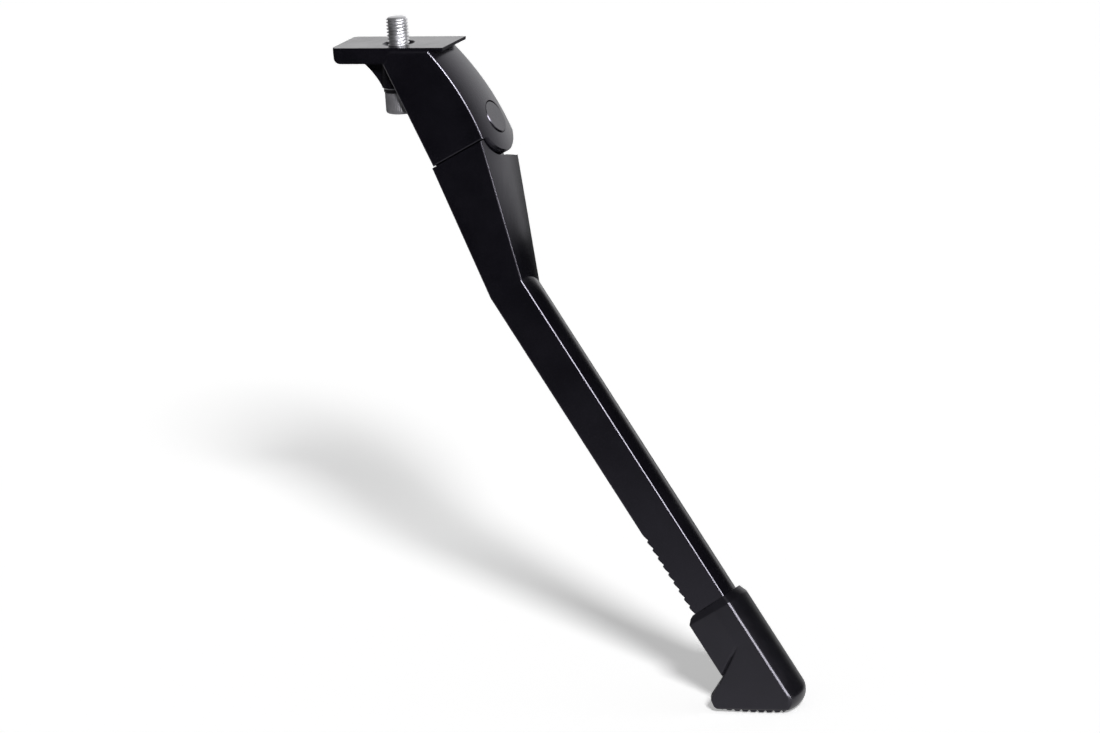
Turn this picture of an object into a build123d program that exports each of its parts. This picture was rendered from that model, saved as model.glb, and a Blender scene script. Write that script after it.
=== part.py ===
"""Bicycle kickstand: cast head, folding leg and a foot that slides along a toothed rack."""
import os
from math import atan, cos, degrees, radians, sin, sqrt, tan

from build123d import *

os.makedirs("parts", exist_ok=True)

# Sizes in millimetres, angles in degrees. X points outboard, Y rearwards and Z up.
# The origin is where the bolt's axis meets the top face of the mounting plate.

# Mounting plate with its skirt
plate_inboard = 28.2
plate_outboard = 26.5
plate_front = 12.5
plate_rear = 16.0
plate_corner = 2.6
lip_thickness = 1.4
skirt_drop = 7.4
skirt_wall = 3.4
skirt_roof = 3.6
skirt_corner = 4.2
skirt_overlap = 4.0
pocket_gap = 4.0

# Mounting bolt, washer and boss
bolt_diameter = 10.0
bolt_shank_diameter = 9.0
bolt_length = 35.0
bolt_standout = 13.2
bolt_tip_chamfer = 1.0
bolt_head_diameter = 16.0
bolt_head_height = 10.0
bolt_head_bevel = 0.8
hex_across_flats = 8.0
hex_depth = 5.0
washer_thickness = 1.2
washer_diameter = 16.6
bolt_clearance = 1.0
hole_mouth_widening = 2.0
hole_mouth_depth = 2.4
boss_wall = 3.5
boss_bevel = 0.9
head_room = 1.2
wrench_way = 28.0
gusset_reach = 21.4
gusset_top = 5.0
gusset_sag = 1.4
gusset_thickness = 7.0

# Pivot: a point on its axis in the middle of the tongue, and the tilt of the axis
pivot_x = 28.9
pivot_y = 5.0
pivot_z = -42.05
axis_tilt = 26.9

# Hood: a barrel-shaped outer face, a flat front wall and two cheeks
front_depth = 18.5
front_wall = 4.0
front_wall_drop = 6.4
ear_radius = 16.3
ear_flat = 2.9
ear_bevel_width = 1.0
ear_bevel_height = 1.2
ear_bevel_start = 12.9
ear_bevel_from = 64.0
ear_bevel_sweep = 120.0
slot_roof = 30.0
slot_round = 3.0
inner_cheek = 8.4
hood_taper = 3.0
hood_top_start = -1.2
hood_heel = 2.2
hood_corner = 3.0
hood_arc_radius = 120.0
hood_arc_above = 34.0
hood_arc_sweep = 60.0
hood_arc_crest = 13.8
hood_arc_rise = 8.5
hood_crown_radius = 75.0
hood_rear_round = 4.5
hood_lean = 7.7
hood_stock = 5.0
edge_round = 0.9

# Pivot pin with its bush, washers and circlip
pin_diameter = 10.0
pin_head_diameter = 15.4
pin_head_thickness = 3.0
pin_face = 15.75
pin_ring_gap = 0.3
pin_fit = 0.02
pin_bevel = 0.35
bush_wall = 1.5
running_clearance = 0.04
thrust_washer_thickness = 1.0
thrust_washer_diameter = 20.0
thrust_gap = 0.1
circlip_thickness = 1.0
circlip_depth = 0.5
circlip_band = 2.4
circlip_mouth = 4.0
circlip_side_gap = 0.05
pin_tail = 1.6
spotface_depth = 1.0
spotface_room = 1.6

# Leg: tongue, shoulder, upper section, knee and shin
tongue_width = 12.4
tongue_radius = 12.0
heel_top = 1.5
tongue_rear = 8.4
tongue_root = 26.0
shoulder_gap = 0.35
shoulder_ear_gap = 1.0
shoulder_rear_drop = 2.6
shoulder_ramp = 12.5
upper_left_start = 16.0
upper_left_angle = 5.4
upper_right_start = 13.1
upper_right_angle = 14.1
upper_crown_radius = 150.0
upper_crown_lean = 10.0
upper_rear = 20.5
upper_rear_round = 2.0
lower_crown_radius = 35.0
lower_crown_lean = 12.0
knee_drop = 72.5
knee_offset = 13.6
shin_kick = 4.0
shin_width = 18.0
shin_depth = 21.0
shin_crown_radius = 31.0
shin_crown_lean = 14.0
shin_rear_round = 4.0
fold_angle = 95.0
fold_stop_width = 3.2
fold_stop_height = 3.4
fold_stop_gap = 0.7
fold_stop_play = 0.1

# Rack on the inboard edge of the shin
tooth_pitch = 4.4
tooth_depth = 1.2
tooth_step = 0.6
tooth_count = 13
rack_start = 125.4

# Spring between the hood's roof and the tongue
spring_seat = 8.0
spring_offset = 4.0
spring_mean_radius = 3.3
spring_wire = 1.5
spring_wire_sides = 5
spring_turns = 5.0
spring_peg_gap = 0.4
spring_peg_height = 3.0

# Foot with its socket and latch
foot_height = 57.4
foot_engagement = 20.2
foot_steps = 6
foot_front_wall = 3.0
foot_rear_wall = 5.0
foot_inner_wall = 3.6
foot_outer_wall = 1.7
foot_front_round = 1.2
foot_rear_round = 6.0
foot_crown_radius = 38.0
foot_crown_lean = 18.0
foot_mouth_inset = 1.5
foot_mouth_height = 3.5
socket_gap = 0.3
socket_end_gap = 1.4
toe_reach = 31.0
toe_height = 7.0
toe_inset = 3.0
toe_rise = 16.5
toe_round = 2.3
sole_sag = 1.2
sole_turn = 6.0
heel_round = 8.0
heel_spare = 0.5
hem_drop = 1.4
hem_round = 1.0
pad_inset = 2.0
crease_run = 8.5
crease_rise = 14.5
crease_depth = 0.8
crease_lift = 0.5
groove_pitch = 3.9
groove_count = 9
groove_depth = 1.1
groove_width = 1.9
latch_start = 4.0
latch_length = 22.0
latch_width = 8.0
latch_thickness = 0.7
latch_depth = 2.1
latch_tooth_at = 4.8
latch_tooth_run = 2.0
latch_tooth_index = 11
latch_side_gap = 0.3
latch_tooth_fit = 0.12

# Frames that the pieces share
tilt = radians(axis_tilt)
pivot = Vector(pivot_x, pivot_y, pivot_z)
outboard = Vector(cos(tilt), 0, sin(tilt))
downleg = Vector(sin(tilt), 0, -cos(tilt))
rearward = Vector(0, 1, 0)
swing = Plane(origin=pivot, x_dir=downleg, z_dir=outboard)
fold = radians(fold_angle)
folded = Plane(origin=pivot, x_dir=downleg * cos(fold) + rearward * sin(fold), z_dir=outboard)
bevel_start = radians(ear_bevel_from)
bevel_dir = downleg * cos(bevel_start) - rearward * sin(bevel_start)
ear_edge = Plane(origin=pivot, x_dir=bevel_dir, z_dir=bevel_dir.cross(outboard))
front_y = pivot_y - front_depth


def front_point(out, down):
    """X and Z of the point that lies out along the pivot axis and down the leg from the pivot."""
    spot = pivot + outboard * out + downleg * down
    return (spot.X, spot.Z)


def crown_centre(right, front, radius, lean):
    """Centre of the circle that starts at a front right corner with its normal leaning to the front."""
    return (right - radius * cos(radians(lean)), front - radius * sin(radians(lean)))


def crown_points(centre, radius, front, rear):
    """Three points of a crowned right side: on its circle at the front, halfway and at the rear."""
    return [(centre[0] + sqrt(radius**2 - (y - centre[1])**2), y) for y in (front, (front + rear) / 2, rear)]


slot_width = tongue_width + 2 * (thrust_washer_thickness + thrust_gap)
half_slot = slot_width / 2
wall_inside = front_wall - front_depth
hood_rear = ear_radius - ear_flat
inner_face = -half_slot - inner_cheek
leg_arc_radius = ear_radius + shoulder_ear_gap
shoulder_rear = leg_arc_radius + shoulder_rear_drop
plate_depth = plate_front + plate_rear
boss_drop = bolt_length - bolt_standout - washer_thickness
bolt_hole_radius = (bolt_diameter + bolt_clearance) / 2
boss_radius = bolt_hole_radius + boss_wall
bolt_seat = bolt_standout - bolt_length
pin_radius = pin_diameter / 2
bush_radius = pin_radius + running_clearance + bush_wall
pin_head_seat = pin_face - pin_head_thickness
spotface = inner_face + spotface_depth
clip_side = spotface - circlip_side_gap
clip_groove_radius = pin_radius - circlip_depth
clip_outer_radius = clip_groove_radius + circlip_band
latch_line = rack_start + (latch_tooth_index + 1) * tooth_pitch - tooth_step
foot_top = latch_line - latch_tooth_at - latch_start
foot_travel = foot_steps * tooth_pitch
shin_length = foot_top + foot_engagement
socket_depth = foot_engagement + foot_travel + socket_end_gap
reach = plate_inboard + shin_length

# Lower leg frame: origin at the knee, Z down the shin, X outboard, Y towards the front
kick = radians(axis_tilt + shin_kick)
shin_dir = Vector(sin(kick), 0, -cos(kick))
shin_out = Vector(cos(kick), 0, sin(kick))
knee_mid = pivot + downleg * knee_drop - outboard * knee_offset
knee = Vector(knee_mid.X, front_y + shin_depth / 2, knee_mid.Z)
shin = Plane(origin=knee, x_dir=shin_out, z_dir=shin_dir)

# Upper leg frame: origin at the pivot, Z down the leg, X outboard, Y towards the front
thigh = Plane(origin=pivot, x_dir=outboard, z_dir=downleg)

# Rack frame: on the inboard face of the shin, X down the shin, Y into the leg
rack_corner = knee + shin_dir * rack_start - shin_out * (shin_width / 2)
rack = Plane(origin=rack_corner, x_dir=shin_dir, z_dir=Vector(0, -1, 0))

# Sole frame: where the shin's centre line meets the ground, X outboard, Y up
sole_spot = knee + shin_dir * (foot_top + foot_height)
foot_front = front_y - foot_front_wall
foot_depth = foot_front_wall + shin_depth + foot_rear_wall
sole = Plane(origin=Vector(sole_spot.X, foot_front, sole_spot.Z), x_dir=Vector(1, 0, 0), z_dir=-rearward)

# Head
barrel_axis_spot = pivot + outboard * (hood_arc_crest - hood_arc_radius) - downleg * hood_arc_rise
barrel_axis = rearward * cos(radians(hood_lean)) - downleg * sin(radians(hood_lean))
barrel_up = -downleg * cos(radians(hood_lean)) - rearward * sin(radians(hood_lean))
barrel_dir = outboard * cos(radians(hood_arc_above)) + barrel_up * sin(radians(hood_arc_above))
barrel = Plane(origin=barrel_axis_spot, x_dir=barrel_dir, z_dir=barrel_dir.cross(barrel_axis))
crest = hood_arc_radius + hood_crown_radius - sqrt(hood_crown_radius**2 - front_depth**2)
stock_front = -front_depth - hood_stock
crown_start, crown_middle, crown_end = crown_points((crest - hood_crown_radius, 0), hood_crown_radius,
                                                    stock_front, hood_rear)
left_tilt = radians(axis_tilt - hood_taper)
left_foot = front_point(inner_face, front_wall_drop)
left_end = front_point(inner_face, 2 * ear_radius)
roof_spot = pivot - downleg * slot_roof + rearward * spring_offset
spring_top = Plane(origin=roof_spot, x_dir=rearward, z_dir=downleg)
heel_x = left_foot[0] - (-skirt_drop - left_foot[1]) * tan(left_tilt)

with BuildPart() as head:
    # barrel-shaped block: the crowned outer face turned about a far axis
    with BuildSketch(barrel) as crown:
        with BuildLine():
            ThreePointArc(crown_start, crown_middle, crown_end)
            Polyline(crown_end, (crest / 2, hood_rear), (crest / 2, stock_front), crown_start)
        make_face()
        fillet(crown.vertices().group_by(Axis.Y)[-1].sort_by(Axis.X)[-1], hood_rear_round)
    revolve(axis=Axis(barrel.origin, barrel_axis), revolution_arc=hood_arc_sweep)
    # outline of the hood seen from the front
    with BuildSketch(Plane.XZ.offset(-front_y)) as outline:
        with BuildLine():
            Polyline((hood_top_start, -lip_thickness), (hood_top_start, -skirt_drop + hood_heel),
                     (heel_x, -skirt_drop), left_foot, left_end, (reach, left_end[1]),
                     (reach, -lip_thickness), (hood_top_start, -lip_thickness))
        make_face()
        fillet(outline.vertices().group_by(Axis.Y)[-1].sort_by(Axis.X)[0], hood_corner)
    extrude(amount=-2 * reach, mode=Mode.INTERSECT)
    # outline of the hood seen along the pivot axis, with round ears below the front wall
    with BuildSketch(swing):
        Circle(ear_radius)
        with Locations((-reach / 2, 0)):
            Rectangle(reach, 4 * ear_radius)
        with Locations(((front_wall_drop - reach) / 2, wall_inside - ear_radius)):
            Rectangle(front_wall_drop + reach, 2 * ear_radius)
    extrude(amount=reach, both=True, mode=Mode.INTERSECT)
    fillet(head.faces().sort_by(Axis.Y)[0].edges(), edge_round)
    # bevel round the lower edge of the outboard ear
    with BuildSketch(ear_edge):
        Polygon((ear_radius, ear_bevel_start), (ear_radius + ear_bevel_width, ear_bevel_start),
                (ear_radius + ear_bevel_width, ear_bevel_start + 2 * ear_bevel_height),
                (ear_radius - 2 * ear_bevel_width, ear_bevel_start + 2 * ear_bevel_height), align=None)
    revolve(axis=Axis(pivot, outboard), revolution_arc=ear_bevel_sweep, mode=Mode.SUBTRACT)
    # mounting plate and the skirt round its inboard half
    with BuildSketch(Plane.XY.offset(-lip_thickness)) as plate:
        with Locations((-plate_inboard, -plate_front)):
            Rectangle(plate_inboard + plate_outboard, plate_depth, align=(Align.MIN, Align.MIN))
        fillet(plate.vertices().group_by(Axis.X)[0], plate_corner)
    extrude(amount=lip_thickness)
    with BuildSketch(Plane.XY.offset(-skirt_drop)) as slab:
        with Locations((-plate_inboard, -plate_front)):
            Rectangle(plate_inboard + skirt_overlap, plate_depth, align=(Align.MIN, Align.MIN))
        fillet(slab.vertices().group_by(Axis.X)[0], plate_corner)
    extrude(amount=skirt_drop - lip_thickness)
    with BuildSketch(Plane.XZ.offset(plate_front)):
        with Locations((-plate_inboard, -skirt_drop)):
            Rectangle(skirt_corner, skirt_corner, align=(Align.MIN, Align.MIN))
        with Locations((skirt_corner - plate_inboard, skirt_corner - skirt_drop)):
            Circle(skirt_corner, mode=Mode.SUBTRACT)
    extrude(amount=-plate_depth, mode=Mode.SUBTRACT)
    with BuildSketch(Plane.XY.offset(-skirt_drop)):
        with Locations((skirt_wall - plate_inboard, skirt_wall - plate_front)):
            Rectangle(plate_inboard - skirt_wall - pocket_gap, plate_depth - 2 * skirt_wall,
                      align=(Align.MIN, Align.MIN))
    extrude(amount=skirt_drop - skirt_roof, mode=Mode.SUBTRACT)
    # boss for the bolt and the gusset that carries it
    with BuildSketch(Plane.XZ) as boss:
        with Locations((0, -lip_thickness)):
            Rectangle(boss_radius, boss_drop - lip_thickness, align=(Align.MIN, Align.MAX))
        chamfer(boss.vertices().group_by(Axis.X)[-1].sort_by(Axis.Y)[0], boss_bevel)
    revolve(axis=Axis.Z)
    with BuildSketch(Plane.XZ.offset(gusset_thickness / 2)):
        with BuildLine():
            gusset_edge = SagittaArc((-gusset_reach, -gusset_top),
                                     (boss_bevel - boss_radius, boss_bevel - boss_drop), gusset_sag)
            Polyline(gusset_edge @ 1, (0, -boss_drop + boss_bevel), (0, -lip_thickness),
                     (-gusset_reach, -lip_thickness), gusset_edge @ 0)
        make_face()
    extrude(amount=-gusset_thickness)
    # slot for the tongue and the spring, open below and behind
    with BuildSketch(swing) as slot:
        with Locations((-slot_roof, wall_inside)):
            Rectangle(reach, reach, align=(Align.MIN, Align.MIN))
        fillet(slot.vertices().group_by(Axis.X)[0].sort_by(Axis.Y)[0], slot_round)
    extrude(amount=half_slot, both=True, mode=Mode.SUBTRACT)
    # bar that stops the leg when it is folded
    with BuildSketch(folded):
        with Locations((tongue_radius - fold_stop_width + fold_stop_gap, tongue_rear + fold_stop_play)):
            Rectangle(fold_stop_width, fold_stop_height, align=(Align.MIN, Align.MIN))
    extrude(amount=half_slot, both=True)
    # peg that centres the spring on the roof
    with BuildSketch(spring_top):
        Circle(spring_mean_radius - spring_wire / 2 - spring_peg_gap)
    extrude(amount=spring_peg_height)
    # holes for the bolt, with room for its head
    with BuildSketch(Plane.XY.offset(-boss_drop)):
        Circle(bolt_head_diameter / 2 + head_room)
    extrude(amount=-wrench_way, mode=Mode.SUBTRACT)
    with BuildSketch(Plane.XZ):
        with BuildLine():
            Polyline((0, 0), (bolt_hole_radius + hole_mouth_widening, 0),
                     (bolt_hole_radius, -hole_mouth_depth), (bolt_hole_radius, -boss_drop),
                     (0, -boss_drop), (0, 0))
        make_face()
    revolve(axis=Axis.Z, mode=Mode.SUBTRACT)
    # bores for the pivot pin, its head and the circlip
    with BuildSketch(swing):
        Circle(pin_radius + pin_fit)
    extrude(amount=reach, both=True, mode=Mode.SUBTRACT)
    with BuildSketch(swing.offset(pin_head_seat)):
        Circle(pin_head_diameter / 2 + pin_ring_gap)
    extrude(amount=reach, mode=Mode.SUBTRACT)
    with BuildSketch(swing.offset(spotface)):
        Circle(clip_outer_radius + spotface_room)
    extrude(amount=-reach, mode=Mode.SUBTRACT)
head.part.label = "head"
export_step(head.part, "parts/head.step")

# Mounting bolt
with BuildPart() as mounting_bolt:
    with BuildSketch(Plane.XZ) as bolt_half:
        with BuildLine():
            Polyline((0, bolt_standout), (bolt_diameter / 2 - bolt_tip_chamfer, bolt_standout),
                     (bolt_diameter / 2, bolt_standout - bolt_tip_chamfer), (bolt_diameter / 2, 0),
                     (bolt_shank_diameter / 2, 0), (bolt_shank_diameter / 2, bolt_seat),
                     (bolt_head_diameter / 2, bolt_seat),
                     (bolt_head_diameter / 2, bolt_seat - bolt_head_height),
                     (0, bolt_seat - bolt_head_height), (0, bolt_standout))
        make_face()
        chamfer(bolt_half.vertices().group_by(Axis.X)[-1].sort_by(Axis.Y)[0], bolt_head_bevel)
    revolve(axis=Axis.Z)
    with BuildSketch(Plane.XY.offset(bolt_seat - bolt_head_height)):
        RegularPolygon(hex_across_flats / 2, 6, major_radius=False)
    extrude(amount=hex_depth, mode=Mode.SUBTRACT)
mounting_bolt.part.label = "mounting_bolt"
export_step(mounting_bolt.part, "parts/mounting_bolt.step")

# Washer under the bolt's head
with BuildPart() as bolt_washer:
    with BuildSketch(Plane.XY.offset(bolt_seat)):
        Circle(washer_diameter / 2)
        Circle(bolt_hole_radius, mode=Mode.SUBTRACT)
    extrude(amount=washer_thickness)
bolt_washer.part.label = "bolt_washer"
export_step(bolt_washer.part, "parts/bolt_washer.step")

# Pivot pin with a flat head and a groove for the circlip
pin_end = clip_side - circlip_thickness - pin_tail
with BuildPart() as pivot_pin:
    with BuildSketch(swing.offset(pin_head_seat)):
        Circle(pin_head_diameter / 2)
    extrude(amount=pin_head_thickness)
    chamfer(pivot_pin.faces().sort_by(Axis(pivot, outboard))[-1].edges(), pin_bevel)
    with BuildSketch(swing.offset(pin_end)):
        Circle(pin_radius)
    extrude(amount=pin_head_seat - pin_end)
    chamfer(pivot_pin.faces().sort_by(Axis(pivot, outboard))[0].edges(), pin_bevel)
    with BuildSketch(swing.offset(clip_side)):
        Circle(pin_diameter)
        Circle(clip_groove_radius, mode=Mode.SUBTRACT)
    extrude(amount=-circlip_thickness, mode=Mode.SUBTRACT)
pivot_pin.part.label = "pivot_pin"
export_step(pivot_pin.part, "parts/pivot_pin.step")

# Circlip
with BuildPart() as pivot_circlip:
    with BuildSketch(swing.offset(clip_side)):
        Circle(clip_outer_radius)
        Circle(clip_groove_radius, mode=Mode.SUBTRACT)
        Rectangle(clip_outer_radius * 2, circlip_mouth, align=(Align.MIN, Align.CENTER), mode=Mode.SUBTRACT)
    extrude(amount=-circlip_thickness)
pivot_circlip.part.label = "pivot_circlip"
export_step(pivot_circlip.part, "parts/pivot_circlip.step")

# Thrust washers beside the tongue
with BuildPart() as outer_thrust_washer:
    with BuildSketch(swing.offset(half_slot - thrust_washer_thickness)):
        Circle(thrust_washer_diameter / 2)
        Circle(pin_radius + pin_fit, mode=Mode.SUBTRACT)
    extrude(amount=thrust_washer_thickness)
outer_thrust_washer.part.label = "outer_thrust_washer"
export_step(outer_thrust_washer.part, "parts/outer_thrust_washer.step")

with BuildPart() as inner_thrust_washer:
    with BuildSketch(swing.offset(-half_slot)):
        Circle(thrust_washer_diameter / 2)
        Circle(pin_radius + pin_fit, mode=Mode.SUBTRACT)
    extrude(amount=thrust_washer_thickness)
inner_thrust_washer.part.label = "inner_thrust_washer"
export_step(inner_thrust_washer.part, "parts/inner_thrust_washer.step")

# Bush in the tongue
with BuildPart() as pivot_bush:
    with BuildSketch(swing.offset(-tongue_width / 2)):
        Circle(bush_radius)
        Circle(pin_radius + running_clearance, mode=Mode.SUBTRACT)
    extrude(amount=tongue_width)
pivot_bush.part.label = "pivot_bush"
export_step(pivot_bush.part, "parts/pivot_bush.step")

# Spring
spring_length = slot_roof - spring_seat - spring_wire
coil_start = spring_top.origin + downleg * (spring_wire / 2)
with BuildPart() as overcentre_spring:
    with BuildLine() as coil:
        Helix(pitch=spring_length / spring_turns, height=spring_length, radius=spring_mean_radius,
              center=coil_start, direction=downleg)
    with BuildSketch(Plane(origin=coil.line @ 0, z_dir=coil.line % 0)):
        RegularPolygon(spring_wire / 2, spring_wire_sides)
    sweep(path=coil.line, is_frenet=True)
overcentre_spring.part.label = "overcentre_spring"
export_step(overcentre_spring.part, "parts/overcentre_spring.step")

# Leg
left_slope = tan(radians(upper_left_angle))
right_slope = tan(radians(upper_right_angle))
kick_slope = tan(radians(shin_kick))
shin_half = shin_width / 2 / cos(radians(shin_kick))
shin_rear = shin_depth - front_depth
# the upper section is carried past the knee, into the shin
upper_end = knee_drop + shin_width
end_right = upper_right_start - upper_end * right_slope
end_rear = upper_rear - (upper_rear - shin_rear) * upper_end / knee_drop
top_centre = crown_centre(upper_right_start, front_depth, upper_crown_radius, upper_crown_lean)
top_start, top_middle, top_end = crown_points(top_centre, upper_crown_radius, front_depth, -upper_rear)
low_centre = crown_centre(end_right, front_depth, lower_crown_radius, lower_crown_lean)
low_start, low_middle, low_end = crown_points(low_centre, lower_crown_radius, front_depth, -end_rear)
# inboard corner of the knee, where the two inboard edges meet
knee_left_drop = knee_offset + shin_half + knee_drop * kick_slope - upper_left_start
knee_left_drop = knee_left_drop / (left_slope + kick_slope)
knee_left_out = -upper_left_start - knee_left_drop * left_slope
knee_left = front_point(knee_left_out, knee_left_drop)
knee_left_along = (Vector(knee_left[0], knee.Y, knee_left[1]) - knee).dot(shin_dir)
# cross-section of the shin, in its own frame
shin_left = -shin_width / 2
shin_front = shin_depth / 2
shin_centre = crown_centre(shin_width / 2, shin_front, shin_crown_radius, shin_crown_lean)
shin_start, shin_middle, shin_end = crown_points(shin_centre, shin_crown_radius, shin_front, -shin_front)

with BuildPart() as leg:
    # upper section with a crowned outer face, tapering to the knee
    with BuildSketch(thigh) as upper_top:
        with BuildLine():
            ThreePointArc(top_start, top_middle, top_end)
            Polyline(top_end, (-knee_drop, -upper_rear), (-knee_drop, front_depth), top_start)
        make_face()
        fillet(upper_top.vertices().group_by(Axis.Y)[0].sort_by(Axis.X)[-1], upper_rear_round)
        fillet(upper_top.vertices().group_by(Axis.Y)[-1].sort_by(Axis.X)[-1], edge_round)
    with BuildSketch(thigh.offset(upper_end)) as upper_low:
        with BuildLine():
            ThreePointArc(low_start, low_middle, low_end)
            Polyline(low_end, (-knee_drop, -end_rear), (-knee_drop, front_depth), low_start)
        make_face()
        fillet(upper_low.vertices().group_by(Axis.Y)[0].sort_by(Axis.X)[-1], upper_rear_round)
        fillet(upper_low.vertices().group_by(Axis.Y)[-1].sort_by(Axis.X)[-1], edge_round)
    loft(ruled=True)
    with BuildSketch(Plane.XZ.offset(-front_y)):
        with BuildLine():
            Polyline(front_point(-upper_left_start, 0), knee_left,
                     front_point(knee_left_out + 2 * shin_width, knee_left_drop + shin_width),
                     front_point(reach, knee_drop), front_point(reach, 0), front_point(-upper_left_start, 0))
        make_face()
    extrude(amount=-2 * reach, mode=Mode.INTERSECT)
    # shin, then the fine rounding of the inboard front edges, which runs on past the knee
    with BuildSketch(shin.offset(knee_left_along)) as shin_face:
        with BuildLine():
            ThreePointArc(shin_start, shin_middle, shin_end)
            Polyline(shin_end, (shin_left, -shin_front), (shin_left, shin_front), shin_start)
        make_face()
        fillet(shin_face.vertices().group_by(Axis.Y)[-1].sort_by(Axis.X)[-1], edge_round)
        fillet(shin_face.vertices().group_by(Axis.Y)[0], shin_rear_round)
    extrude(amount=shin_length - knee_left_along)
    fillet(leg.faces().sort_by(Axis.Y)[0].edges().sort_by(Axis(knee, shin_out))[:2], edge_round)
    # hollow of the shoulder: turned round the ears, level under the front wall, lower behind
    with BuildSketch(swing):
        Circle(leg_arc_radius)
        Rectangle(front_wall_drop + shoulder_gap, reach, align=(Align.MIN, Align.MAX))
        Polygon((0, 0), (leg_arc_radius, 0), (shoulder_rear, shoulder_ramp), (shoulder_rear, reach),
                (0, reach), align=None)
    extrude(amount=reach, both=True, mode=Mode.SUBTRACT)
    # rack of saw teeth
    with BuildSketch(rack):
        with Locations([(i * tooth_pitch, 0) for i in range(tooth_count)]):
            Polygon((0, 0), (tooth_pitch - tooth_step, tooth_depth), (tooth_pitch, 0),
                    (tooth_pitch, -tooth_depth), (0, -tooth_depth), align=None)
    extrude(amount=shin_depth, both=True, mode=Mode.SUBTRACT)
    # tongue with its stop heel and the flat for the spring
    with BuildSketch(swing.offset(-tongue_width / 2)):
        Circle(tongue_radius)
        with Locations((heel_top, wall_inside)):
            Rectangle(tongue_root - heel_top, tongue_rear - wall_inside, align=(Align.MIN, Align.MIN))
        with Locations((-spring_seat, spring_offset)):
            Rectangle(tongue_radius, 2 * (spring_mean_radius + spring_wire), align=(Align.MAX, Align.CENTER),
                      mode=Mode.SUBTRACT)
    extrude(amount=tongue_width)
    with BuildSketch(Plane(origin=pivot - downleg * spring_seat + rearward * spring_offset, x_dir=rearward,
                           z_dir=-downleg)):
        Circle(spring_mean_radius - spring_wire / 2 - spring_peg_gap)
    extrude(amount=spring_peg_height)
    with BuildSketch(swing):
        Circle(bush_radius)
    extrude(amount=tongue_width, both=True, mode=Mode.SUBTRACT)
leg.part.label = "leg"
export_step(leg.part, "parts/leg.step")

# Foot
foot_angle = radians(axis_tilt + shin_kick)
side_lean = tan(foot_angle)
left_side = shin_left - foot_inner_wall
right_side = shin_width / 2 + foot_outer_wall
sleeve_front = shin_front + foot_front_wall
sleeve_rear = sleeve_front - foot_depth
sleeve_centre = crown_centre(right_side, sleeve_front, foot_crown_radius, foot_crown_lean)
widest = (sleeve_centre[0] + foot_crown_radius) / cos(foot_angle)
notch_x = left_side / cos(foot_angle) - toe_rise * side_lean
top_left_x = left_side * cos(foot_angle) - foot_height * sin(foot_angle)
top_left_y = foot_height * cos(foot_angle) + left_side * sin(foot_angle)
sole_left = toe_inset - toe_reach
sole_right = widest - sole_sag * side_lean
sole_middle = (sole_left + sole_right) / 2
groove_start = sole_middle - groove_count * groove_pitch / 2
ground = sole_spot.Z
above = ground + 2 * foot_height
# crease frame: at the upper end of the crease, X down the shin, Y outboard along the tilted face
crease_across = crease_run * cos(foot_angle) + crease_rise * sin(foot_angle)
crease_along = crease_rise * cos(foot_angle) - crease_run * sin(foot_angle) - crease_lift
crease_tilt = atan(crease_depth / crease_across)
crease = Plane(origin=sole.from_local_coords(Vector(notch_x + crease_run, toe_rise + crease_rise, 0)),
               x_dir=shin_dir, z_dir=-rearward * cos(crease_tilt) - shin_out * sin(crease_tilt))
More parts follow.
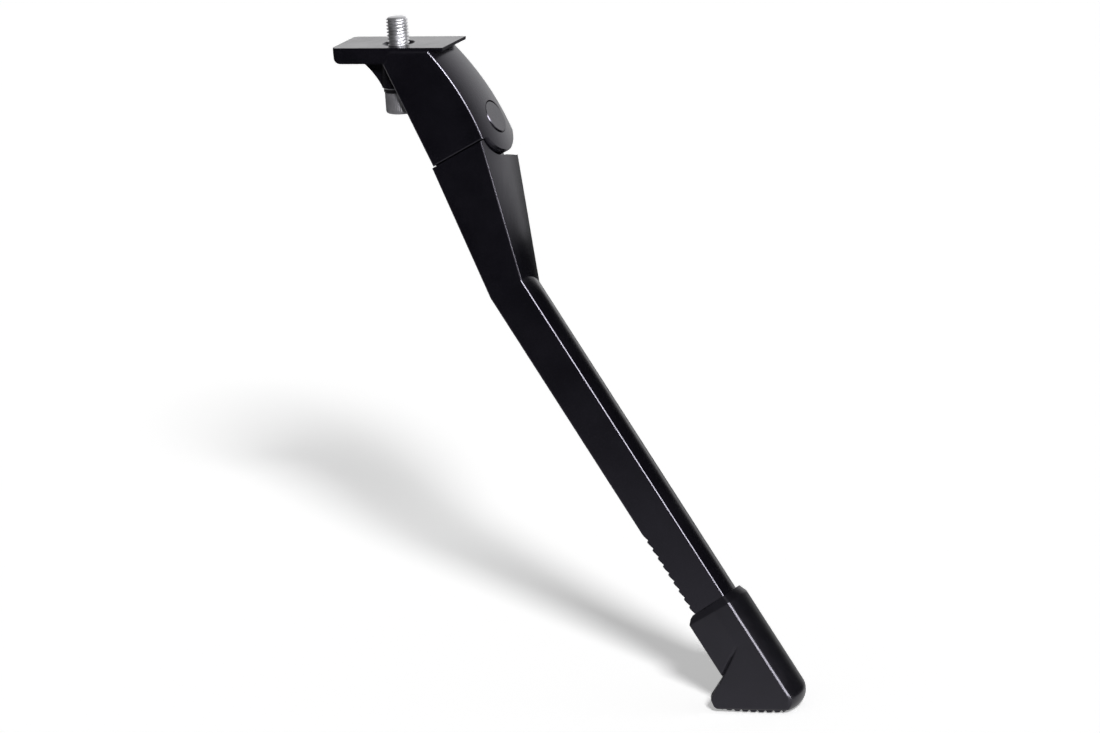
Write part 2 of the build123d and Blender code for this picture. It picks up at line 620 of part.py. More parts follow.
# latch frame: on the inboard face of the shin, X down the shin from the start of the latch, Y into the leg
latch_floor = socket_gap + latch_depth
leaf_top = latch_thickness - latch_floor
latch_frame = Plane(origin=knee + shin_dir * (foot_top + latch_start) + shin_out * shin_left,
                    x_dir=shin_dir, z_dir=-rearward)
with BuildPart() as foot:
    # outline seen from the front: sleeve, toe and sole
    with BuildSketch(sole) as foot_face:
        with BuildLine():
            Polyline((top_left_x, top_left_y), (notch_x, toe_rise), (-toe_reach, toe_height),
                     (sole_left, sole_sag))
            ThreePointArc((sole_left, sole_sag), (sole_middle, 0), (sole_right, sole_sag))
            Polyline((sole_right, sole_sag), (widest - 2 * foot_height * side_lean, 2 * foot_height),
                     (top_left_x, top_left_y))
        make_face()
        fillet(foot_face.vertices().sort_by_distance((-toe_reach, toe_height))[0], toe_round)
        fillet(foot_face.vertices().sort_by_distance((sole_right, sole_sag))[0], sole_turn)
    extrude(amount=-foot_depth)
    # cross-section of the sleeve, crowned outboard and rounded at the rear
    with BuildSketch(shin.offset(foot_top)) as sleeve:
        with BuildLine():
            bulge = crown_points(sleeve_centre, foot_crown_radius, sleeve_front, sleeve_rear)
            ThreePointArc(*bulge)
            Polyline(bulge[2], (-reach, sleeve_rear), (-reach, sleeve_front), bulge[0])
        make_face()
        fillet(sleeve.vertices().group_by(Axis.Y)[-1].sort_by(Axis.X)[-1], foot_front_round)
        fillet(sleeve.vertices().group_by(Axis.Y)[0].sort_by(Axis.X)[-1], foot_rear_round)
    extrude(amount=2 * foot_height, mode=Mode.INTERSECT)
    # the front above the crease lies back towards the inboard side
    with BuildSketch(crease):
        Polygon((0, 0), (2 * crease_along, -2 * crease_across), (-foot_height, -2 * crease_across),
                (-foot_height, 0), align=None)
    extrude(amount=foot_height, mode=Mode.SUBTRACT)
    # outline seen from the side: rounded hem in front, ribbed pad behind it and round heel
    with BuildSketch(Plane.YZ) as profile:
        with BuildLine():
            Polyline((foot_front, above), (foot_front, ground + hem_drop),
                     (foot_front + pad_inset, ground + hem_drop),
                     (foot_front + pad_inset, ground - heel_spare),
                     (foot_front + foot_depth, ground - heel_spare), (foot_front + foot_depth, above),
                     (foot_front, above))
        make_face()
        fillet(profile.vertices().sort_by_distance((foot_front, ground + hem_drop))[0], hem_round)
        fillet(profile.vertices().sort_by_distance((foot_front + foot_depth, ground))[0], heel_round)
    extrude(amount=2 * reach, both=True, mode=Mode.INTERSECT)
    # bevelled mouth
    with BuildSketch(shin.offset(foot_top)) as mouth:
        with BuildLine():
            rim = crown_points(sleeve_centre, foot_crown_radius - foot_mouth_inset,
                               sleeve_front - foot_mouth_inset, sleeve_rear + foot_mouth_inset)
            ThreePointArc(*rim)
            Polyline(rim[2], (left_side + foot_mouth_inset, rim[2][1]),
                     (left_side + foot_mouth_inset, rim[0][1]), rim[0])
        make_face()
        fillet(mouth.vertices().group_by(Axis.Y)[-1], foot_front_round)
        fillet(mouth.vertices().group_by(Axis.Y)[0], foot_rear_round - foot_mouth_inset)
    extrude(amount=2 * foot_height, taper=-degrees(atan(foot_mouth_inset / foot_mouth_height)),
            mode=Mode.INTERSECT)
    # grooves across the pad
    with BuildSketch(sole):
        with Locations([(groove_start + i * groove_pitch, 0) for i in range(groove_count + 1)]):
            Polygon((-groove_width / 2, 0), (0, groove_depth), (groove_width / 2, 0), (0, -groove_depth),
                    align=None)
    extrude(amount=reach, both=True, mode=Mode.SUBTRACT)
    # socket for the shin
    with BuildSketch(shin.offset(foot_top)) as socket:
        with BuildLine():
            bore = crown_points(shin_centre, shin_crown_radius + socket_gap, shin_front + socket_gap,
                                -shin_front - socket_gap)
            ThreePointArc(*bore)
            Polyline(bore[2], (shin_left - socket_gap, bore[2][1]), (shin_left - socket_gap, bore[0][1]),
                     bore[0])
        make_face()
        fillet(socket.vertices().group_by(Axis.Y)[-1], edge_round)
        fillet(socket.vertices().group_by(Axis.Y)[0], shin_rear_round)
    extrude(amount=socket_depth, mode=Mode.SUBTRACT)
    # pocket for the latch
    with BuildSketch(latch_frame):
        with Locations((0, -latch_floor)):
            Rectangle(latch_length, latch_floor, align=(Align.MIN, Align.MIN))
    extrude(amount=latch_width / 2 + latch_side_gap, both=True, mode=Mode.SUBTRACT)
foot.part.label = "foot"
export_step(foot.part, "parts/foot.step")

# Latch: a leaf in the foot's pocket with a tooth that drops into the rack
with BuildPart() as foot_latch:
    with BuildSketch(latch_frame):
        with BuildLine():
            Polyline((0, -latch_floor), (latch_length, -latch_floor), (latch_length, leaf_top),
                     (latch_tooth_at + tooth_step, leaf_top), (latch_tooth_at, tooth_depth - latch_tooth_fit),
                     (latch_tooth_at - latch_tooth_run, leaf_top), (0, leaf_top), (0, -latch_floor))
        make_face()
    extrude(amount=latch_width / 2, both=True)
foot_latch.part.label = "foot_latch"
export_step(foot_latch.part, "parts/foot_latch.step")
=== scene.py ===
# %% [markdown]
# # A bicycle kickstand, dressed for a studio picture
#
# The solids of the stand are already made: a cast head that bolts under the bicycle, a leg that
# folds on a tilted pivot, and a plastic foot that slides along a rack. They arrive here as a fixed
# frame. This lesson gives every solid its finish, makes the pieces that need finer shapes than a
# solid has, such as the screw thread, and sets up floor, light and camera.

from math import cos, pi, radians, sin

import bpy
import numpy as np
from mathutils import Matrix, Vector


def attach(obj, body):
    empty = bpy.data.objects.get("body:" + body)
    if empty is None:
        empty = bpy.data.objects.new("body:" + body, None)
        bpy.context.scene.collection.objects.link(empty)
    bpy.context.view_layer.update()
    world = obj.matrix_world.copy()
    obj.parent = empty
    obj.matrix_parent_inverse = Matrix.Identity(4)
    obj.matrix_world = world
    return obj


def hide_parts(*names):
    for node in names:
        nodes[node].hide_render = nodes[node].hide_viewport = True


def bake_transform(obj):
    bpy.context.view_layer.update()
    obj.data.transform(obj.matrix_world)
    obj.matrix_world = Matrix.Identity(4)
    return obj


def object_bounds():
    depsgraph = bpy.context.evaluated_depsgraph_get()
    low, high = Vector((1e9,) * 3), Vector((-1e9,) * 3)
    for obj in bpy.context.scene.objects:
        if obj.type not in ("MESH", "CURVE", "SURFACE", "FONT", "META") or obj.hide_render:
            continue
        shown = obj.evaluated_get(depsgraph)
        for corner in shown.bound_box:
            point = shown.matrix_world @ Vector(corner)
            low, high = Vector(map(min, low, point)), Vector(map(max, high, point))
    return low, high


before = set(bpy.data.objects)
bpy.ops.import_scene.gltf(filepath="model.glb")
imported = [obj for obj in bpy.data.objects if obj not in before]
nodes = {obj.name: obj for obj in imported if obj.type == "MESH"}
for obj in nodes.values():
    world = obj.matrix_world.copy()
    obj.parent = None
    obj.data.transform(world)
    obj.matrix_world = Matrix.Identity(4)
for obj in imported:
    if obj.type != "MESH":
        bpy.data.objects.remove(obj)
cad_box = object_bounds()
scene = bpy.context.scene
scene.view_settings.view_transform = "Standard"
MM = 0.001
print("solids:", ", ".join(sorted(nodes)))

# %% [markdown]
# ## Camera
#
# A camera can be placed by trial, or worked out from points whose real place is known. Here the
# plate's edges, the bolt and the pivot gave the turn and the height of the view, and a long lens
# keeps the far and near sides of the stand almost equal in size. The camera's axes are built from
# three angles. The camera then stands back along its view and is shifted sideways, so that the
# origin of the part falls on its pixel.

# %% Camera at the picture's angle
IMAGE_WIDTH, IMAGE_HEIGHT = 1100, 733
ORIGIN_PIXEL = (398.6, 42.9)
FOCAL_PIXELS = 9900.0
VIEW_DISTANCE = 4.5
yaw = radians(22.2)
elevation = radians(11.8)
roll = radians(4.3)

level_right = Vector((cos(yaw), sin(yaw), 0))
level_up = Vector((-sin(yaw) * sin(elevation), cos(yaw) * sin(elevation), cos(elevation)))
towards_camera = Vector((sin(yaw) * cos(elevation), -cos(yaw) * cos(elevation), sin(elevation)))
camera_right = cos(roll) * level_right - sin(roll) * level_up
camera_up = sin(roll) * level_right + cos(roll) * level_up
metres_per_pixel = VIEW_DISTANCE / FOCAL_PIXELS
camera_place = (
    towards_camera * VIEW_DISTANCE
    - camera_right * (ORIGIN_PIXEL[0] - IMAGE_WIDTH / 2) * metres_per_pixel
    - camera_up * (IMAGE_HEIGHT / 2 - ORIGIN_PIXEL[1]) * metres_per_pixel
)

camera_data = bpy.data.cameras.new("camera")
camera_data.sensor_width = 36.0
camera_data.lens = FOCAL_PIXELS * camera_data.sensor_width / IMAGE_WIDTH
camera_data.clip_start = 0.1
camera_data.clip_end = 60.0
camera = bpy.data.objects.new("camera", camera_data)
scene.collection.objects.link(camera)
turn = Matrix((camera_right, camera_up, towards_camera)).transposed().to_4x4()
camera.matrix_world = Matrix.Translation(camera_place) @ turn
scene.camera = camera
print("camera at", [round(c, 3) for c in camera_place], "lens", round(camera_data.lens), "mm")

# %% [markdown]
# ## Helpers for shader nodes
#
# A material is a small network of nodes. Writing it in code needs only three moves: add a node,
# set the values of its sockets and link sockets together. One helper does the first two. Two more
# do small sums: a soft step that fades one thing into another, and plain arithmetic.

# %% Node helpers
def add_node(tree, kind, settings=None, **sockets):
    """Adds a node, sets its own settings, then the default values of the named input sockets."""
    node = tree.nodes.new(kind)
    for key, value in (settings or {}).items():
        setattr(node, key, value)
    for name, value in sockets.items():
        node.inputs[name.replace("_", " ")].default_value = value
    return node


def soft_step(tree, value, start, end, low, high):
    """A node that runs smoothly from low, where the value is at start, to high, where it is at end."""
    step = add_node(tree, "ShaderNodeMapRange", {"interpolation_type": "SMOOTHSTEP"},
                    From_Min=start, From_Max=end, To_Min=low, To_Max=high)
    tree.links.new(value, step.inputs["Value"])
    return step.outputs[0]


def maths(tree, operation, first, second):
    """A Math node whose inputs are sockets or plain numbers."""
    node = add_node(tree, "ShaderNodeMath", {"operation": operation})
    for place, value in enumerate((first, second)):
        if isinstance(value, (int, float)):
            node.inputs[place].default_value = value
        else:
            tree.links.new(value, node.inputs[place])
    return node.outputs[0]


# %% [markdown]
# ## Helpers for the studio
#
# Floor and cards are not part of the stand.
# What such a sheet shows may depend on who looks: the Light Path node tells a ray from the camera
# apart from one that comes off a shiny surface.

# %% Studio helpers
def start_stage_material(name):
    """A material of the studio: an empty tree, its output and its Light Path node."""
    material = bpy.data.materials.new(name)
    material.use_nodes = True
    tree = material.node_tree
    tree.nodes.clear()
    output = add_node(tree, "ShaderNodeOutputMaterial")
    path = add_node(tree, "ShaderNodeLightPath")
    return material, tree, output, path


def place_axes(tree, kind="Object"):
    """The X, Y and Z of the point that is shaded, as three sockets."""
    place = add_node(tree, "ShaderNodeTexCoord")
    axes = add_node(tree, "ShaderNodeSeparateXYZ")
    tree.links.new(place.outputs[kind], axes.inputs[0])
    return axes.outputs


def seen_in_mirror(tree, path):
    """One for a ray that comes off a shiny surface or through glass, nought for any other."""
    return maths(tree, "MAXIMUM", path.outputs["Is Glossy Ray"], path.outputs["Is Transmission Ray"])


def add_stage(name, corners, material):
    """A flat four-cornered piece of the studio, which is not part of the stand."""
    mesh = bpy.data.meshes.new(name)
    mesh.from_pydata(corners, [], [(0, 1, 2, 3)])
    mesh.materials.append(material)
    piece = bpy.data.objects.new(name, mesh)
    scene.collection.objects.link(piece)
    return piece


# %% [markdown]
# ## Floor
#
# The stand is photographed on a white sheet. A sheet that is only lit never comes out pure white,
# so the floor adds a little light of its own that only the camera sees: the lit parts reach white
# and the soft shadow stays. Shiny surfaces see the sheet too, but only the stretch close to the
# stand is bright for them. Towards the front, the left and the far back it gets dark, and that is
# what makes the front faces of the hood and the leg black while the foot, close to the sheet, stays
# grey.

# %% Floor sheet
FLOOR_LEVEL = cad_box[0].z - 0.0005
FLOOR_REACH = 8.0
FLOOR_GLOW = 0.335

floor_paper, paper, paper_out, paper_path = start_stage_material("floor_paper")
paper_axes = place_axes(paper)
paper_lit = add_node(paper, "ShaderNodeBsdfDiffuse", Color=(0.97, 0.97, 0.97, 1))
paper_glow = add_node(paper, "ShaderNodeEmission", Color=(1, 1, 1, 1))
paper_seen = add_node(paper, "ShaderNodeAddShader")
paper_mirrored = add_node(paper, "ShaderNodeEmission", Color=(1, 1, 1, 1))
paper_pick = add_node(paper, "ShaderNodeMixShader")
glow = maths(paper, "MULTIPLY", paper_path.outputs["Is Camera Ray"], FLOOR_GLOW)
near_side = soft_step(paper, paper_axes["Y"], start=-0.8, end=0.3, low=0.0, high=0.8)
far_side = soft_step(paper, paper_axes["Y"], start=0.35, end=1.0, low=1.0, high=0.2)
left_side = soft_step(paper, paper_axes["X"], start=-1.1, end=-0.55, low=0.05, high=1.0)
bright_stretch = maths(paper, "MULTIPLY", maths(paper, "MULTIPLY", near_side, far_side), left_side)
paper.links.new(glow, paper_glow.inputs["Strength"])
paper.links.new(bright_stretch, paper_mirrored.inputs["Strength"])
paper.links.new(paper_lit.outputs[0], paper_seen.inputs[0])
paper.links.new(paper_glow.outputs[0], paper_seen.inputs[1])
paper.links.new(seen_in_mirror(paper, paper_path), paper_pick.inputs[0])
paper.links.new(paper_seen.outputs[0], paper_pick.inputs[1])
paper.links.new(paper_mirrored.outputs[0], paper_pick.inputs[2])
paper.links.new(paper_pick.outputs[0], paper_out.inputs["Surface"])

add_stage("floor",
          [(-FLOOR_REACH, -FLOOR_REACH, FLOOR_LEVEL), (FLOOR_REACH, -FLOOR_REACH, FLOOR_LEVEL),
           (FLOOR_REACH, FLOOR_REACH, FLOOR_LEVEL), (-FLOOR_REACH, FLOOR_REACH, FLOOR_LEVEL)],
          floor_paper)
print("floor at", round(FLOOR_LEVEL / MM, 1), "mm")

# %% [markdown]
# ## Lamps
#
# The shadow runs away to the back and to the left, so the main lamp stands to the right of the
# camera and higher: the line from the shadow's tip to the top of the stand gives its direction.
# A sun lamp lights the sheet evenly, and its angle makes the shadow's edge as soft as a large lamp
# would. Two more lamps stand further outboard and only show as reflections. Each long edge of the
# castings is a narrow round, and somewhere on that round it mirrors a lamp: that gives the thin
# light line down the hood, the thigh and the shin.

# %% Three lamps
LAMP_DISTANCE = 3


def add_sun(name, azimuth, height, energy, angle, for_edges):
    """A sun lamp. Its azimuth counts from the front towards outboard, its height from the floor; a
    lamp for edges is left out of the diffuse light, so only reflections show it."""
    data = bpy.data.lights.new(name, "SUN")
    data.energy = energy
    data.angle = radians(angle)
    lamp = bpy.data.objects.new(name, data)
    scene.collection.objects.link(lamp)
    flat = cos(radians(height))
    way = Vector((sin(radians(azimuth)) * flat, -cos(radians(azimuth)) * flat, sin(radians(height))))
    lamp.location = way * LAMP_DISTANCE
    lamp.rotation_mode = "QUATERNION"
    lamp.rotation_quaternion = way.to_track_quat("Z", "Y")
    lamp.visible_diffuse = not for_edges
    print(name, "lamp from", [round(c, 2) for c in way])


add_sun("key", azimuth=30, height=26, energy=3.8, angle=7.5, for_edges=False)
add_sun("high_edge", azimuth=62, height=31, energy=4.6, angle=28, for_edges=True)
add_sun("low_edge", azimuth=90, height=14, energy=1.2, angle=16, for_edges=True)

# %% [markdown]
# ## Studio room
#
# The world is the room itself, and it too depends on who looks. The camera sees white. Diffuse
# surfaces get an even, weak light. Shiny surfaces see a white wall behind the stand and darkness in
# front of it: the grey sheen on the plate and the outboard faces is that wall, mirrored at a
# shallow angle.

# %% World of the studio
ROOM_LIGHT = 0.16

world = bpy.data.worlds.new("studio")
scene.world = world
world.use_nodes = True
sky = world.node_tree
sky.nodes.clear()
sky_out = add_node(sky, "ShaderNodeOutputWorld")
sky_light = add_node(sky, "ShaderNodeBackground", Color=(1, 1, 1, 1))
sky_path = add_node(sky, "ShaderNodeLightPath")
sky_axes = place_axes(sky, "Generated")
wall = soft_step(sky, sky_axes["Y"], start=0.5, end=0.98, low=0.12, high=1.2)
mirrored = seen_in_mirror(sky, sky_path)
shown = maths(sky, "MULTIPLY", mirrored, wall)
lit = maths(sky, "MULTIPLY", maths(sky, "SUBTRACT", 1.0, mirrored), ROOM_LIGHT)
strength = maths(sky, "MAXIMUM", maths(sky, "ADD", shown, lit), sky_path.outputs["Is Camera Ray"])
sky.links.new(strength, sky_light.inputs["Strength"])
sky.links.new(sky_light.outputs[0], sky_out.inputs["Surface"])
print("room light", ROOM_LIGHT)

# %% [markdown]
# ## Dark flags
#
# Photographers hang black card, called a flag, beside a shiny object, so that it mirrors darkness
# where it should look black. Two hang behind the stand, outboard of the leg. The large one is
# mirrored by the shin and the foot, while the hood mirrors the white wall above it. The small one
# hangs close behind the knee and keeps the top of the shin dark. Rear edges look past both and stay
# light. The cards act on mirror reflections alone and throw no shadow, and their borders fade, so
# nothing on the leg shows a hard line.

# %% Two flags behind the leg
SHIN_SLOPE, SHIN_AT_ORIGIN, THIGH_PLACE = 0.5985, -0.0180, 0.0496
THIGH_FROM, THIGH_TO = -0.100, -0.085
CARD_LEFT, CARD_RIGHT, CARD_TOP = -0.05, 0.9, 0.0
CARD_BLACK = 0.004


def hang_flag(name, depth, top, low, fade, offset, edge, thigh_shift):
    """A card that only mirror reflections see, black between its low and its top level and outboard
    of the leg's middle line by more than the offset. All of its borders fade."""
    material, card, output, path = start_stage_material(name)
    axes = place_axes(card)
    level = axes["Z"]
    shin_line = maths(card, "ADD", maths(card, "MULTIPLY", level, -SHIN_SLOPE), SHIN_AT_ORIGIN)
    shift = soft_step(card, level, THIGH_FROM, THIGH_TO, 0.0, thigh_shift)
    leg_line = maths(card, "ADD", maths(card, "MAXIMUM", shin_line, THIGH_PLACE), shift)
    beside = maths(card, "SUBTRACT", axes["X"], leg_line)
    outboard = soft_step(card, beside, offset, offset + edge, 0.0, 1.0)
    below_top = soft_step(card, level, top - fade, top, 1.0, 0.0)
    above_low = soft_step(card, level, low, low + fade, 0.0, 1.0)
    share = maths(card, "MULTIPLY", maths(card, "MULTIPLY", outboard, below_top), above_low)
    share = maths(card, "MULTIPLY", share, path.outputs["Is Glossy Ray"])
    clear = add_node(card, "ShaderNodeBsdfTransparent")
    black = add_node(card, "ShaderNodeEmission", Color=(1, 1, 1, 1), Strength=CARD_BLACK)
    pick = add_node(card, "ShaderNodeMixShader")
    card.links.new(share, pick.inputs[0])
    card.links.new(clear.outputs[0], pick.inputs[1])
    card.links.new(black.outputs[0], pick.inputs[2])
    card.links.new(pick.outputs[0], output.inputs["Surface"])
    flag = add_stage(name, [(CARD_LEFT, depth, FLOOR_LEVEL), (CARD_RIGHT, depth, FLOOR_LEVEL),
                            (CARD_RIGHT, depth, CARD_TOP), (CARD_LEFT, depth, CARD_TOP)], material)
    flag.visible_camera = False
    flag.visible_diffuse = False
    flag.visible_shadow = False
    flag.visible_transmission = False
    print(name, "hangs", depth, "m behind the bolt")


hang_flag("leg_flag", depth=0.07, top=-0.055, low=-0.5, fade=0.040, offset=0.003, edge=0.030,
          thigh_shift=0.024)
hang_flag("knee_flag", depth=0.014, top=-0.085, low=-0.170, fade=0.012, offset=0.010, edge=0.010,
          thigh_shift=0.0)

# %% [markdown]
# ## Shared effect: fine grain
#
# Paint, plastic and metal all need the same two things: a fine grain that breaks up the
# reflection, and slow patches where the surface is a little duller. Both are made once, as a node
# group with named sockets, and every finish then places the group with its own values.

# %% Group: fine grain
def make_group(name, inputs, outputs):
    """An empty shader node group with float inputs (name, default) and named float outputs."""
    group = bpy.data.node_groups.new(name, "ShaderNodeTree")
    for label, default in inputs:
        socket = group.interface.new_socket(label, in_out="INPUT", socket_type="NodeSocketFloat")
        socket.default_value = default
    for label in outputs:
        group.interface.new_socket(label, in_out="OUTPUT", socket_type="NodeSocketFloat")
    return group, add_node(group, "NodeGroupInput"), add_node(group, "NodeGroupOutput")


grain_group, grain_in, grain_out = make_group(
    "fine_grain",
    [("Scale", 900.0), ("Patch Scale", 40.0), ("Dull", 0.5), ("Bright", 0.3)],
    ["Height", "Roughness"])
grain_place = add_node(grain_group, "ShaderNodeTexCoord")
grain_noise = add_node(grain_group, "ShaderNodeTexNoise", Detail=3.0, Roughness=0.6)
grain_patch = add_node(grain_group, "ShaderNodeTexNoise", Detail=4.0, Roughness=0.65)
grain_range = add_node(grain_group, "ShaderNodeMapRange", From_Min=0.3, From_Max=0.7)
grain_links = grain_group.links
grain_links.new(grain_place.outputs["Object"], grain_noise.inputs["Vector"])
grain_links.new(grain_place.outputs["Object"], grain_patch.inputs["Vector"])
grain_links.new(grain_in.outputs["Scale"], grain_noise.inputs["Scale"])
grain_links.new(grain_in.outputs["Patch Scale"], grain_patch.inputs["Scale"])
grain_links.new(grain_patch.outputs["Fac"], grain_range.inputs["Value"])
grain_links.new(grain_in.outputs["Bright"], grain_range.inputs["To Min"])
grain_links.new(grain_in.outputs["Dull"], grain_range.inputs["To Max"])
grain_links.new(grain_noise.outputs["Fac"], grain_out.inputs["Height"])
grain_links.new(grain_range.outputs[0], grain_out.inputs["Roughness"])
print("group:", grain_group.name)

# %% [markdown]
# ## Finishes
#
# Satin black paint on the castings, matt black plastic for the foot, plated steel for the bolt and
# darker metals inside. Each is one Principled shader; the grain group feeds its roughness, its
# colour and a bump. Constants such as the paint's refraction stay on the shader itself. The black
# paint is a very dark colour under a clear, slightly violet gloss: almost all that is seen of it is
# what it mirrors.

# %% One recipe for every finish
PATCH_TINT = 0.15


def finish(name, colour, metallic, bright, dull, grain, patch, bump, **constants):
    """A Principled finish. Roughness runs from bright to dull in patches, a fine grain gives the
    bump in metres, and the colour is darker or lighter by the patch tint with the same patches."""
    material = bpy.data.materials.new(name)
    material.use_nodes = True
    tree = material.node_tree
    tree.nodes.clear()
    output = add_node(tree, "ShaderNodeOutputMaterial")
    shader = add_node(tree, "ShaderNodeBsdfPrincipled", Metallic=metallic, **constants)
    effect = add_node(tree, "ShaderNodeGroup", {"node_tree": grain_group},
                      Scale=grain, Patch_Scale=patch, Dull=dull, Bright=bright)
    bumper = add_node(tree, "ShaderNodeBump", Strength=1.0, Distance=bump)
    shade = add_node(tree, "ShaderNodeMapRange", From_Min=bright, From_Max=dull,
                     To_Min=1 - PATCH_TINT, To_Max=1 + PATCH_TINT)
    paint = add_node(tree, "ShaderNodeVectorMath", {"operation": "SCALE"})
    paint.inputs[0].default_value = colour
    tree.links.new(effect.outputs["Roughness"], shader.inputs["Roughness"])
    tree.links.new(effect.outputs["Roughness"], shade.inputs["Value"])
    tree.links.new(shade.outputs[0], paint.inputs["Scale"])
    tree.links.new(paint.outputs[0], shader.inputs["Base Color"])
    tree.links.new(effect.outputs["Height"], bumper.inputs["Height"])
    tree.links.new(bumper.outputs["Normal"], shader.inputs["Normal"])
    tree.links.new(shader.outputs["BSDF"], output.inputs["Surface"])
    return material


satin_black = finish("satin_black_paint", (0.0028, 0.0026, 0.0042), metallic=0, bright=0.20, dull=0.27,
                     grain=500, patch=45, bump=2e-7, IOR=1.6, Specular_Tint=(0.88, 0.85, 1.0, 1))
matt_plastic = finish("matt_black_plastic", (0.0042, 0.0040, 0.0058), metallic=0, bright=0.30, dull=0.38,
                      grain=900, patch=60, bump=2e-6, IOR=1.55, Specular_Tint=(0.90, 0.87, 1.0, 1))
plated_steel = finish("plated_steel", (0.56, 0.56, 0.58), metallic=1, bright=0.34, dull=0.44,
                      grain=900, patch=220, bump=8e-7)
dark_steel = finish("dark_steel", (0.18, 0.177, 0.190), metallic=0.55, bright=0.42, dull=0.52,
                    grain=900, patch=180, bump=8e-7)
black_oxide = finish("black_oxide_steel", (0.06, 0.058, 0.066), metallic=1, bright=0.34, dull=0.48,
                     grain=1500, patch=180, bump=4e-6)
spring_steel = finish("spring_steel", (0.42, 0.42, 0.43), metallic=1, bright=0.22, dull=0.36,
                      grain=1600, patch=200, bump=3e-6)
bronze = finish("sintered_bronze", (0.42, 0.28, 0.13), metallic=1, bright=0.35, dull=0.50,
                grain=2600, patch=300, bump=6e-6)
nylon = finish("dark_nylon", (0.05, 0.05, 0.055), metallic=0, bright=0.42, dull=0.55,
               grain=1500, patch=120, bump=5e-6)

# %% Finishes on the solids
worn_by = {"head": satin_black, "leg": satin_black, "foot": matt_plastic, "pivot_pin": satin_black,
           "bolt_washer": black_oxide, "pivot_circlip": spring_steel, "outer_thrust_washer": nylon,
           "inner_thrust_washer": nylon, "pivot_bush": bronze, "overcentre_spring": spring_steel,
           "foot_latch": spring_steel, "mounting_bolt": plated_steel}
for name, material in worn_by.items():
    nodes[name].data.materials.clear()
    nodes[name].data.materials.append(material)
print("finishes:", sorted({material.name for material in worn_by.values()}))

# %% [markdown]
# ## Surfaces from grids
#
# A turned or coiled piece is a grid of points: one direction runs along its profile or path, the
# other goes round. With whole arrays the points and their faces come from a few lines of index
# arithmetic. Each end is closed by a fan round one middle point.

# %% Grid helper
def closed_grid(points, first):
    """Vertices and faces of a tube of points [row, step, xyz], closed round its steps and at both
    ends, with its vertices counted from first. Seen from outside, rows run down and steps run to
    the right."""
    rows, steps = points.shape[:2]
    vertices = np.concatenate([points.reshape(-1, 3), points[[0, -1]].mean(axis=1)])
    around = np.arange(steps)
    ahead = (around + 1) % steps
    row = first + steps * np.arange(rows - 1)[:, None]
    corners = (row + around, row + steps + around, row + steps + ahead, row + ahead)
    quads = np.stack(corners, -1).reshape(-1, 4)
    last = first + steps * (rows - 1)
    top_middle = np.full(steps, first + steps * rows)
    top = np.stack([top_middle, first + around, first + ahead], -1)
    low = np.stack([top_middle + 1, last + ahead, last + around], -1)
    return vertices, quads.tolist() + top.tolist() + low.tolist()


def add_piece(name, parts, materials, node, sharp=32):
    """One object from several closed grids in millimetres, each with its own material, in place of
    a solid. Edges that bend by more than the sharp angle stay crisp."""
    vertices, faces, marks = [], [], []
    for mark, points in enumerate(parts):
        found, shape = closed_grid(points, sum(len(made) for made in vertices))
        vertices.append(found)
        faces += shape
        marks += [mark] * len(shape)
    mesh = bpy.data.meshes.new(name)
    mesh.from_pydata(np.concatenate(vertices) * MM, [], faces)
    for material in materials:
        mesh.materials.append(material)
    mesh.polygons.foreach_set("material_index", np.array(marks, np.int32))
    mesh.polygons.foreach_set("use_smooth", np.ones(len(faces), bool))
    mesh.set_sharp_from_angle(angle=radians(sharp))
    piece = bpy.data.objects.new(name, mesh)
    scene.collection.objects.link(piece)
    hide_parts(node)
    print(name, len(mesh.vertices), "vertices")
    return piece


# %% [markdown]
# ## Mounting bolt: thread
#
# The bolt is an M10 screw. A solid thread is heavy, so the solid bolt is plain and the thread is
# made here as one surface: the radius at a point swings between crest and root with the turns that
# lie between the point and the screw line. A real thread has straight flanks; at this size a smooth
# wave looks the same and catches the light without hard speckles.

# %% Thread surface
THREAD_PITCH, THREAD_RADIUS, THREAD_DEPTH, THREAD_ROWS = 1.5, 5.0, 0.92, 220
BOLT_TOP, TIP_CHAMFER = 12.0, 1.0
THREAD_END, RUN_OUT, SHANK_RADIUS, SHANK_SINK = -2.0, 0.3, 4.5, 1.0
HEAD_TOP = -21.8


def ring(radius, height, angle):
    """Points on a circle whose radius and height may change with the angle."""
    radius, height, angle = np.broadcast_arrays(radius, height, angle)
    return np.stack([radius * np.cos(angle), radius * np.sin(angle), height], -1)


def thread_surface(steps):
    """A screw thread: the radius swings between crest and root as a cosine of the turns that lie
    between the point's height and the screw line. A chamfer cuts the tip, and a plain shank runs on
    into the head."""
    angle = np.linspace(0, 2 * pi, steps, endpoint=False)[None, :]
    height = np.linspace(BOLT_TOP, THREAD_END, THREAD_ROWS)[:, None]
    turns = height / THREAD_PITCH - angle / (2 * pi)
    radius = THREAD_RADIUS - THREAD_DEPTH * (0.5 - 0.5 * np.cos(2 * pi * turns))
    radius = np.minimum(radius, THREAD_RADIUS - TIP_CHAMFER + BOLT_TOP - height)
    shank_ends = np.array([[THREAD_END - RUN_OUT], [HEAD_TOP - SHANK_SINK]])
    return np.concatenate([ring(radius, height, angle), ring(SHANK_RADIUS, shank_ends, angle)])


thread = thread_surface(160)
print("thread:", thread.shape[0], "rows of", thread.shape[1], "points")

# %% [markdown]
# ## Mounting bolt: head
#
# The head is round and finely ribbed for the fingers, with a socket for a hexagon key in its lower
# face. It is turned from a profile whose radius gets small ribs round the side, and the socket's
# mouth blends a circle into a hexagon. Thread and head become one piece with two finishes, because
# the plated thread is bright and the head is dark.

